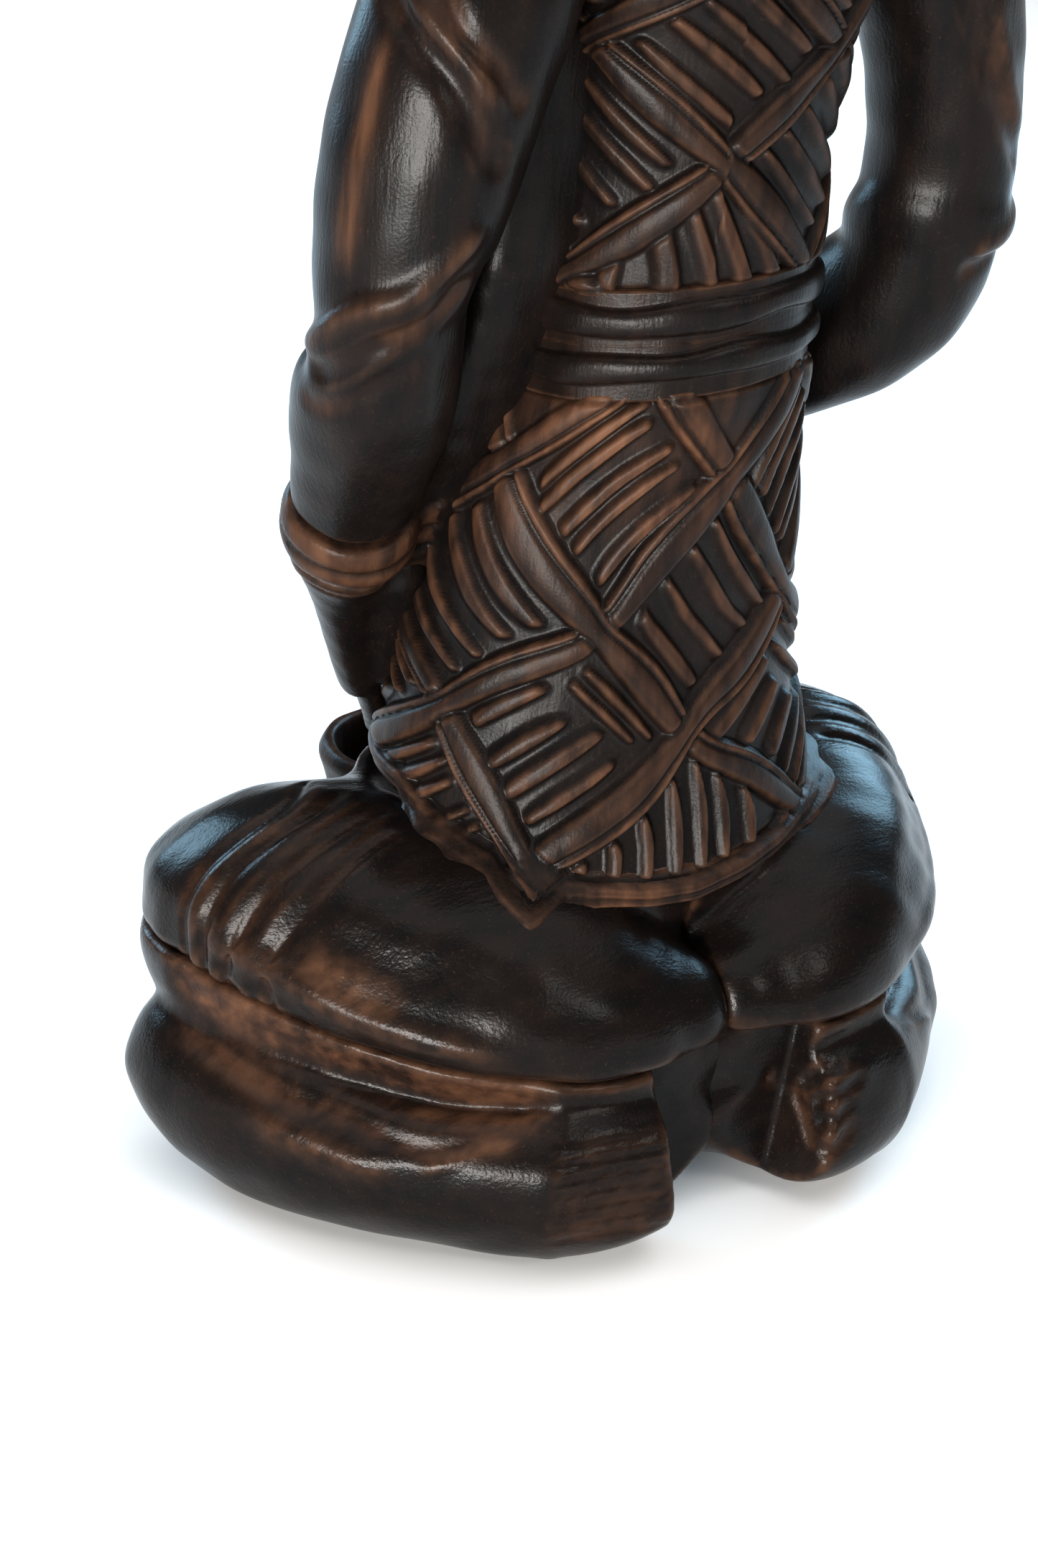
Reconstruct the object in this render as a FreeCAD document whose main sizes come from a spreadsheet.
import FreeCAD, Part
import os

# A kneeling ancestor figure, carved from one block of dark wood, with a bowl between its knees.
# Millimetres, +Z up, the figure faces -Y and its left hand is on the +X side.
# The origin is the middle of the footprint, on the surface that the figure stands on.

doc = FreeCAD.newDocument("ancestor_figure")
sheet = doc.addObject("Spreadsheet::Sheet", "dims")
sheet_row = 0


def dim(alias, value):
    """Put one driving dimension in the sheet: its name in column A, its value in column B."""
    global sheet_row
    sheet_row += 1
    sheet.set(f"A{sheet_row}", alias)
    sheet.set(f"B{sheet_row}", str(value))
    sheet.setAlias(f"B{sheet_row}", alias)


# ---------------------------------------------------------------- driving dimensions

# The trunk: rings that lie flat, as height, middle in Y, half width, half depth.
TRUNK_LEVELS = {
    "hem": (62.0, 11.0, 49.0, 42.5),
    "seat": (88.0, 9.0, 46.0, 37.0),
    "hips": (110.0, 9.0, 42.5, 33.5),
    "loin": (135.0, 11.5, 38.0, 30.5),
    "flare": (148.0, 15.0, 35.0, 28.5),
    "under_belt": (158.0, 18.0, 32.3, 27.2),
    "belt_foot": (166.5, 20.5, 30.0, 26.0),
    "belt_middle": (176.0, 22.0, 29.0, 25.0),
    "belt_top": (185.5, 22.0, 28.5, 24.8),
    "waist": (205.0, 23.0, 28.0, 24.5),
    "ribs": (228.0, 24.0, 29.5, 25.0),
    "armpits": (242.0, 25.0, 35.0, 25.5),
    "shoulders": (254.0, 25.0, 43.0, 23.0),
    "collar": (264.0, 24.0, 30.0, 17.5),
    "neck_foot": (270.0, 22.5, 15.0, 15.0),
    "neck_waist": (278.0, 21.5, 12.5, 13.0),
    "neck_top": (290.0, 20.0, 12.5, 13.5),
}
BELT_PROUD = 1.2  # how far each belt band stands out from the garment

# The head: flat rings again, from the chin to the crown.
HEAD_LEVELS = {
    "chin": (275.0, 6.0, 6.5, 7.0),
    "mouth": (283.0, 9.5, 15.0, 15.0),
    "cheeks": (293.0, 14.0, 20.5, 22.0),
    "eyes": (305.0, 17.5, 23.5, 27.0),
    "brow": (318.0, 19.0, 25.0, 29.0),
    "forehead": (331.0, 20.5, 22.0, 26.5),
    "crown": (341.0, 22.0, 13.0, 17.0),
    "crown_top": (345.0, 22.0, 4.0, 6.0),
}

# The nose, as height, middle in Y, half width, half depth.
NOSE_LEVELS = {
    "root": (312.0, -6.0, 2.4, 3.5),
    "bridge": (305.0, -9.5, 2.8, 3.8),
    "tip": (298.0, -12.0, 4.6, 5.0),
    "base": (294.0, -9.0, 4.0, 4.5),
}

# Limbs: rings across the limb, as X, Y, Z of the middle, major radius and minor radius.
# They are given for the left side; the right leg is the mirror image of the left one.
THIGH = [
    (3.0, 56.0, 43.0, 6.0, 5.0),
    (10.0, 50.0, 43.0, 21.0, 15.0),
    (27.0, 38.0, 46.0, 29.5, 24.0),
    (48.0, 19.0, 49.5, 30.0, 28.5),
    (62.0, -3.0, 49.5, 27.5, 27.0),
    (73.0, -20.0, 47.0, 19.0, 18.5),
    (78.0, -28.0, 46.0, 6.0, 6.0),
]
LOWER_LEG = [
    (33.0, 53.5, 18.5, 19.5, 19.5),
    (45.5, 41.0, 19.0, 21.5, 20.5),
    (59.0, 23.5, 19.0, 23.0, 21.0),
    (71.0, 0.0, 20.5, 21.5, 21.5),
    (77.5, -15.0, 23.0, 16.5, 16.0),
    (81.0, -23.0, 25.0, 5.0, 5.0),
]
FOOT = [
    (10.0, 66.0, 17.5, 9.0, 9.0),
    (21.0, 60.5, 18.0, 16.0, 16.0),
    (33.0, 53.5, 18.5, 19.5, 19.5),
]
LEFT_UPPER_ARM = [
    (38.0, 26.0, 257.0, 11.0, 10.0),
    (48.0, 26.0, 246.0, 18.0, 17.0),
    (57.0, 25.5, 223.0, 18.5, 18.0),
    (61.5, 24.0, 201.0, 17.5, 16.5),
    (62.0, 22.5, 187.0, 17.0, 16.0),
]
RIGHT_UPPER_ARM = [
    (-38.0, 26.0, 257.0, 11.0, 10.0),
    (-48.5, 26.0, 246.0, 17.0, 16.0),
    (-58.0, 25.5, 223.0, 16.0, 15.0),
    (-62.0, 24.0, 205.0, 15.5, 14.5),
    (-62.5, 23.0, 193.0, 15.0, 14.5),
]
# Each forearm starts one sleeve fold below the upper arm.
LEFT_FOREARM = [
    (62.0, 20.5, 177.5, 16.5, 15.5),
    (60.0, 13.0, 162.0, 15.5, 14.5),
    (57.0, 6.3, 150.0, 13.6, 13.1),
    (54.3, 0.2, 138.8, 12.2, 11.8),
]
RIGHT_FOREARM = [
    (-62.5, 21.0, 184.0, 15.5, 14.5),
    (-59.5, 10.0, 167.0, 16.5, 15.5),
    (-50.5, -2.0, 155.5, 14.0, 13.5),
    (-41.0, -11.0, 147.0, 10.5, 10.0),
]
# The web of uncut wood between the left arm and the trunk just fills the gap between them. It is
# given as flat rings: X, Y, Z of the middle, half depth and half width.
ARM_WEB = [
    (39.0, 4.0, 144.5, 6.2, 3.2),
    (39.2, 6.0, 148.0, 6.5, 3.8),
    (38.1, 13.5, 162.0, 7.5, 6.0),
    (37.6, 19.0, 184.0, 8.0, 7.3),
    (36.1, 21.0, 201.0, 8.0, 7.5),
    (34.0, 22.0, 222.0, 7.5, 4.4),
    (33.3, 22.5, 230.0, 7.0, 2.7),
]
# The sleeve's fold above each elbow lies on a slope that falls outwards and forwards.
LEFT_FOLD_SLOPE = 0.6
RIGHT_FOLD_SLOPE = 0.2
# Each hand starts one cuff and one bracelet beyond the forearm.
LEFT_HAND_AFTER_WRIST = [
    (44.5, -14.5, 114.5, 10.5, 7.0),
    (36.5, -22.5, 99.0, 11.5, 5.4),
    (26.5, -31.0, 84.0, 10.0, 4.4),
    (19.5, -36.5, 72.0, 7.0, 3.4),
]
RIGHT_HAND_AFTER_WRIST = [
    (-22.0, -24.5, 134.0, 12.0, 7.0),
    (-10.0, -27.0, 129.0, 10.5, 5.5),
    (1.0, -27.0, 125.0, 7.0, 4.0),
]
CUFF_LONG = 11.0  # the raised cuff at each wrist
BRACELET_LONG = 4.5  # the thin ring beyond the cuff
WRIST_TAPER = 0.84  # the size of the arm in the bracelet, as a share of its size in the cuff
TRIM_PROUD = 1.5  # how far cuffs, bracelets and sleeve folds stand out from the arm

# The bowl, turned about its own upright axis: height and outer radius, then the hollow.
BOWL_OUTSIDE = {
    "foot": (0.0, 14.0),
    "foot_edge": (3.0, 16.5),
    "belly_low": (16.0, 21.5),
    "belly": (29.0, 22.5),
    "throat": (46.0, 18.5),
    "lip_under": (53.0, 20.5),
    "lip": (57.0, 22.0),
    "rim": (60.0, 20.5),
}
BOWL_INSIDE = {
    "mouth": (60.0, 18.5),
    "throat_in": (47.0, 16.0),
    "belly_in": (30.0, 18.5),
    "floor_edge": (12.0, 13.0),
    "floor": (9.0, 7.0),
}

dim("bowl_y", -51.0)
dim("ground_size", 400.0)

# The hair is a close cap: an egg shape over the head, kept behind and above the hairline plane.
dim("hair_y", 22.0)
dim("hair_z", 314.5)
dim("hair_half_height", 33.0)
dim("hair_half_width", 27.0)
dim("hair_half_depth", 31.0)
HAIRLINE = (-7.0, 329.0)  # a point of the hairline plane above the brow, as Y and Z
HAIRLINE_TILT = 32.0  # how far the plane leans back from upright, in degrees
CUTTER_SIDE = 160.0

dim("ear_x", 24.0)
dim("ear_y", 21.0)
dim("ear_z", 304.0)
dim("ear_half_height", 8.5)
dim("ear_half_width", 3.4)
dim("ear_half_depth", 5.0)

subparts = []


def finished(obj, node):
    """Name a finished sub-part after its node and keep it for the export."""
    obj.Label = node
    subparts.append(obj)
    return obj


# ---------------------------------------------------------------- rings and lofts


def ring(name, middle, major, minor, turn):
    """One elliptical cross-section whose sizes and place are read from the sheet."""
    for axis, value in zip("xyz", middle):
        dim(f"{name}_{axis}", value)
    dim(f"{name}_major", major)
    dim(f"{name}_minor", minor)
    ellipse = doc.addObject("Part::Ellipse", f"{name}_ring")
    ellipse.Placement = FreeCAD.Placement(FreeCAD.Vector(*middle), turn)
    for axis in "xyz":
        ellipse.setExpression(f"Placement.Base.{axis}", f"dims.{name}_{axis}")
    ellipse.setExpression("MajorRadius", f"dims.{name}_major")
    ellipse.setExpression("MinorRadius", f"dims.{name}_minor")
    return ellipse


def loft(name, rings):
    body = doc.addObject("Part::Loft", f"{name}_loft")
    body.Sections = rings
    body.Solid = True
    body.Ruled = False
    return body


def level_loft(name, levels, keys, deep=False):
    """A loft through flat rings stacked in Z. deep says that the rings are longest along Y."""
    rings = []
    for key in keys:
        z, y, half_width, half_depth = levels[key]
        flat = FreeCAD.Rotation()
        major, minor = half_width, half_depth
        if deep:
            flat = FreeCAD.Rotation(FreeCAD.Vector(0, 0, 1), 90)
            major, minor = half_depth, half_width
        rings.append(ring(f"{name}_{key}", (0.0, y, z), major, minor, flat))
    return loft(name, rings)


def ring_turn(along, major_toward):
    """The rotation of a ring that faces along a limb, with its major radius near a direction."""
    along = FreeCAD.Vector(along).normalize()
    side = major_toward - along * major_toward.dot(along)
    side.normalize()
    return FreeCAD.Rotation(side, along.cross(side), along, "ZXY")


def directions(stations):
    """The limb's direction at each of its rings."""
    points = [FreeCAD.Vector(*station[:3]) for station in stations]
    result = []
    for i in range(len(points)):
        before = points[max(i - 1, 0)]
        after = points[min(i + 1, len(points) - 1)]
        result.append(after - before)
    return result


def limb_loft(name, stations, major_toward, first=None, last=None):
    """A loft along a limb. first and last fix an end ring's direction where two limbs meet."""
    along = directions(stations)
    along[0] = first or along[0]
    along[-1] = last or along[-1]
    rings = []
    for i, (x, y, z, major, minor) in enumerate(stations):
        turn = ring_turn(along[i], major_toward)
        rings.append(ring(f"{name}_{i}", (x, y, z), major, minor, turn))
    return loft(name, rings)


def mirrored(obj):
    """The same shape on the other side of the figure."""
    other = doc.addObject("Part::Mirroring", f"{obj.Name}_mirrored")
    other.Source = obj
    other.Base = FreeCAD.Vector(0, 0, 0)
    other.Normal = FreeCAD.Vector(1, 0, 0)
    return other


def cut(base, *tools):
    """The base with each tool's space taken out of it, one tool after another."""
    for tool in tools:
        step = doc.addObject("Part::Cut", f"{base.Name}_less_{tool.Name}")
        step.Base = base
        step.Tool = tool
        base = step
    return base


def both_sides(left, node):
    """A left and a right sub-part of one shape."""
    finished(mirrored(left), f"right_{node}")
    finished(left, f"left_{node}")


def band(node, start, along, length, major, minor, major_toward, proud):
    """A raised band across a limb: a slab with a rounded rim, from one face to the next."""
    along = FreeCAD.Vector(along).normalize()
    turn = ring_turn(along, major_toward)
    rings = []
    for i, (share, out) in enumerate([(0.0, 0.25), (0.5, 1.0), (1.0, 0.25)]):
        middle = start + along * (length * share)
        grow = proud * out
        name = f"{node}_{i}"
        rings.append(ring(name, tuple(middle), major + grow, minor + grow, turn))
    return loft(node, rings)


# ---------------------------------------------------------------- trunk


def make_trunk():
    """The garment above and below the belt, and the belt's two bands between them."""
    skirt_keys = ["hem", "seat", "hips", "loin", "flare", "under_belt", "belt_foot"]
    bodice_keys = ["belt_top", "waist", "ribs", "armpits", "shoulders", "collar", "neck_foot"]
    skirt = finished(level_loft("wrapper", TRUNK_LEVELS, skirt_keys), "wrapper")
    bodice = finished(level_loft("bodice", TRUNK_LEVELS, bodice_keys), "bodice")
    for node, low, high in [
        ("belt_lower_band", "belt_foot", "belt_middle"),
        ("belt_upper_band", "belt_middle", "belt_top"),
    ]:
        z, y, major, minor = TRUNK_LEVELS[low]
        length = TRUNK_LEVELS[high][0] - z
        up = FreeCAD.Vector(0, 0, 1)
        start = FreeCAD.Vector(0, y, z)
        slab = band(node, start, up, length, major, minor, FreeCAD.Vector(1, 0, 0), BELT_PROUD)
        finished(slab, node)
    return skirt, bodice


# ---------------------------------------------------------------- head


def ellipsoid(name, prefix, x_sign=0):
    """An egg shape read from the sheet's cells that start with prefix."""
    egg = doc.addObject("Part::Ellipsoid", name)
    if x_sign:
        egg.setExpression("Placement.Base.x", f"{x_sign} * dims.{prefix}_x")
    egg.setExpression("Placement.Base.y", f"dims.{prefix}_y")
    egg.setExpression("Placement.Base.z", f"dims.{prefix}_z")
    egg.setExpression("Radius1", f"dims.{prefix}_half_height")
    egg.setExpression("Radius2", f"dims.{prefix}_half_width")
    egg.setExpression("Radius3", f"dims.{prefix}_half_depth")
    return egg


def make_head():
    """The head with its nose, the neck under it, the cap of hair and the ears."""
    skull = level_loft("skull", HEAD_LEVELS, list(HEAD_LEVELS), deep=True)
    nose = level_loft("nose", NOSE_LEVELS, list(NOSE_LEVELS), deep=True)
    head = doc.addObject("Part::Fuse", "skull_and_nose")
    head.Base = skull
    head.Tool = nose
    finished(head, "head")
    neck_keys = ["neck_foot", "neck_waist", "neck_top"]
    neck = level_loft("neck", TRUNK_LEVELS, neck_keys, deep=True)
    finished(cut(neck, head), "neck")

    face_side = doc.addObject("Part::Box", "face_side")
    for size in ["Length", "Width", "Height"]:
        setattr(face_side, size, CUTTER_SIDE)
    turn = FreeCAD.Rotation(FreeCAD.Vector(1, 0, 0), 180 + HAIRLINE_TILT)
    corner = FreeCAD.Vector(-CUTTER_SIDE / 2, *HAIRLINE)
    corner -= turn.multVec(FreeCAD.Vector(0, 0, CUTTER_SIDE / 2))
    face_side.Placement = FreeCAD.Placement(corner, turn)
    hair = cut(ellipsoid("hair_egg", "hair"), head, face_side, neck)
    finished(hair, "hair_cap")

    for side, x_sign in [("left", 1), ("right", -1)]:
        ear = ellipsoid(f"{side}_ear_egg", "ear", x_sign)
        finished(cut(ear, head, hair), f"{side}_ear")


# ---------------------------------------------------------------- legs


def make_legs(skirt):
    """Thighs with the buttocks, and the lower legs and feet folded under them."""
    level = FreeCAD.Vector(1, 1, 0)  # the long way of a leg's rings stays level
    ground = doc.addObject("Part::Box", "ground")
    other_side = doc.addObject("Part::Box", "other_side")
    for box in [ground, other_side]:
        box.setExpression("Length", "dims.ground_size")
        box.setExpression("Width", "dims.ground_size")
        box.setExpression("Height", "dims.ground_size")
        box.setExpression("Placement.Base.y", "-dims.ground_size / 2")
    ground.setExpression("Placement.Base.x", "-dims.ground_size / 2")
    ground.setExpression("Placement.Base.z", "-dims.ground_size")
    other_side.setExpression("Placement.Base.x", "-dims.ground_size")
    other_side.setExpression("Placement.Base.z", "-dims.ground_size / 2")

    shin_start = FreeCAD.Vector(*LOWER_LEG[1][:3]) - FreeCAD.Vector(*FOOT[1][:3])
    thigh = limb_loft("thigh", THIGH, level)
    lower_leg = limb_loft("lower_leg", LOWER_LEG, level, first=shin_start)
    foot = limb_loft("foot", FOOT, level, last=shin_start)
    both_sides(cut(thigh, other_side, skirt), "thigh")
    both_sides(cut(lower_leg, thigh, ground, skirt), "lower_leg")
    both_sides(cut(foot, thigh, ground, skirt), "foot")


# ---------------------------------------------------------------- arms


def make_arm(side, upper, forearm, hand, fold_slope, clear_of):
    """One arm: upper arm, sleeve fold, forearm, wrist cuff, bracelet and hand, end to end."""
    deep = FreeCAD.Vector(0, 1, 0)
    outward = 1 if side == "left" else -1
    across_fold = FreeCAD.Vector(-0.8 * outward * fold_slope, 0.6 * fold_slope, -1)
    wrist = FreeCAD.Vector(*forearm[-1][:3]) - FreeCAD.Vector(*forearm[-2][:3])
    wrist.normalize()
    arm = limb_loft(f"{side}_upper_arm", upper, deep, last=across_fold)
    finished(cut(arm, *clear_of), f"{side}_upper_arm")
    finished(sleeve_fold(side, upper[-1], forearm[0], across_fold, deep), f"{side}_sleeve_fold")
    lower = limb_loft(f"{side}_forearm", forearm, deep, first=across_fold, last=wrist)
    finished(cut(lower, *clear_of), f"{side}_forearm")

    cuff_size = forearm[-1][3:]
    wrist_size = [radius * WRIST_TAPER for radius in cuff_size]
    place = FreeCAD.Vector(*forearm[-1][:3])
    for node, length, size, proud in [
        (f"{side}_wrist_cuff", CUFF_LONG, cuff_size, TRIM_PROUD),
        (f"{side}_bracelet", BRACELET_LONG, wrist_size, TRIM_PROUD * 0.6),
    ]:
        finished(band(node, place, wrist, length, *size, deep, proud), node)
        place = place + wrist * length
    stations = [(*place, *wrist_size)] + hand
    palm_way = FreeCAD.Vector(0.6, 0.8, 0) if side == "left" else FreeCAD.Vector(0, 0, 1)
    palm = limb_loft(f"{side}_hand", stations, palm_way, first=wrist)
    finished(cut(palm, *clear_of), f"{side}_hand")


def make_arm_web():
    """The uncut wood that fills the gap between the left arm and the trunk."""
    deep = FreeCAD.Rotation(FreeCAD.Vector(0, 0, 1), 90)
    rings = []
    for i, (x, y, z, half_depth, half_width) in enumerate(ARM_WEB):
        rings.append(ring(f"arm_web_{i}", (x, y, z), half_depth, half_width, deep))
    finished(loft("arm_web", rings), "left_arm_web")


def sleeve_fold(side, above, below, along, major_toward):
    """The raised fold between the upper arm's last ring and the forearm's first ring."""
    turn = ring_turn(along, major_toward)
    rings = []
    for i, (share, out) in enumerate([(0.0, 0.25), (0.5, 1.0), (1.0, 0.25)]):
        x, y, z, major, minor = [a + (b - a) * share for a, b in zip(above, below)]
        grow = TRIM_PROUD * out
        name = f"{side}_fold_{i}"
        rings.append(ring(name, (x, y, z), major + grow, minor + grow, turn))
    return loft(f"{side}_fold", rings)


# ---------------------------------------------------------------- bowl


def make_bowl():
    """The turned bowl between the knees: one closed profile turned about its upright axis."""
    outline = [(0.0, 0.0)]
    outline += [(radius, z) for z, radius in BOWL_OUTSIDE.values()]
    outline += [(radius, z) for z, radius in BOWL_INSIDE.values()]
    outline += [(0.0, BOWL_INSIDE["floor"][0])]
    points = [FreeCAD.Vector(radius, 0, z) for radius, z in outline]
    profile = doc.addObject("Part::Feature", "bowl_profile")
    profile.Shape = Part.Face(Part.makePolygon(points + points[:1]))
    bowl = doc.addObject("Part::Revolution", "bowl_turned")
    bowl.Source = profile
    bowl.Axis = FreeCAD.Vector(0, 0, 1)
    bowl.Angle = 360
    bowl.setExpression("Placement.Base.y", "dims.bowl_y")
    return finished(bowl, "bowl")


# ---------------------------------------------------------------- assembly and export


skirt, bodice = make_trunk()
make_head()
make_legs(skirt)
bowl = make_bowl()
touching = [bodice, skirt]
make_arm(
    "left",
    LEFT_UPPER_ARM,
    LEFT_FOREARM,
    LEFT_HAND_AFTER_WRIST,
    LEFT_FOLD_SLOPE,
    touching + [bowl],
)
make_arm(
    "right",
    RIGHT_UPPER_ARM,
    RIGHT_FOREARM,
    RIGHT_HAND_AFTER_WRIST,
    RIGHT_FOLD_SLOPE,
    touching,
)
make_arm_web()
doc.recompute()

for obj in doc.Objects:
    if "Invalid" in obj.State or "Error" in obj.State:
        raise RuntimeError(f"{obj.Name} ({obj.Label}) failed: {obj.State}")
for obj in subparts:
    if obj.Shape.isNull() or not obj.Shape.isValid():
        raise RuntimeError(f"{obj.Label} has no valid shape")

os.makedirs("parts", exist_ok=True)
whole = FreeCAD.BoundBox()
for obj in subparts:
    obj.Shape.exportStep(os.path.join("parts", f"{obj.Label}.step"))
    whole.add(obj.Shape.optimalBoundingBox())
    print(f"{obj.Label}: {len(obj.Shape.Solids)} solid, {obj.Shape.Volume:.0f} mm3")
print(f"X {whole.XMin:.1f} to {whole.XMax:.1f}")
print(f"Y {whole.YMin:.1f} to {whole.YMax:.1f}")
print(f"Z {whole.ZMin:.1f} to {whole.ZMax:.1f}")
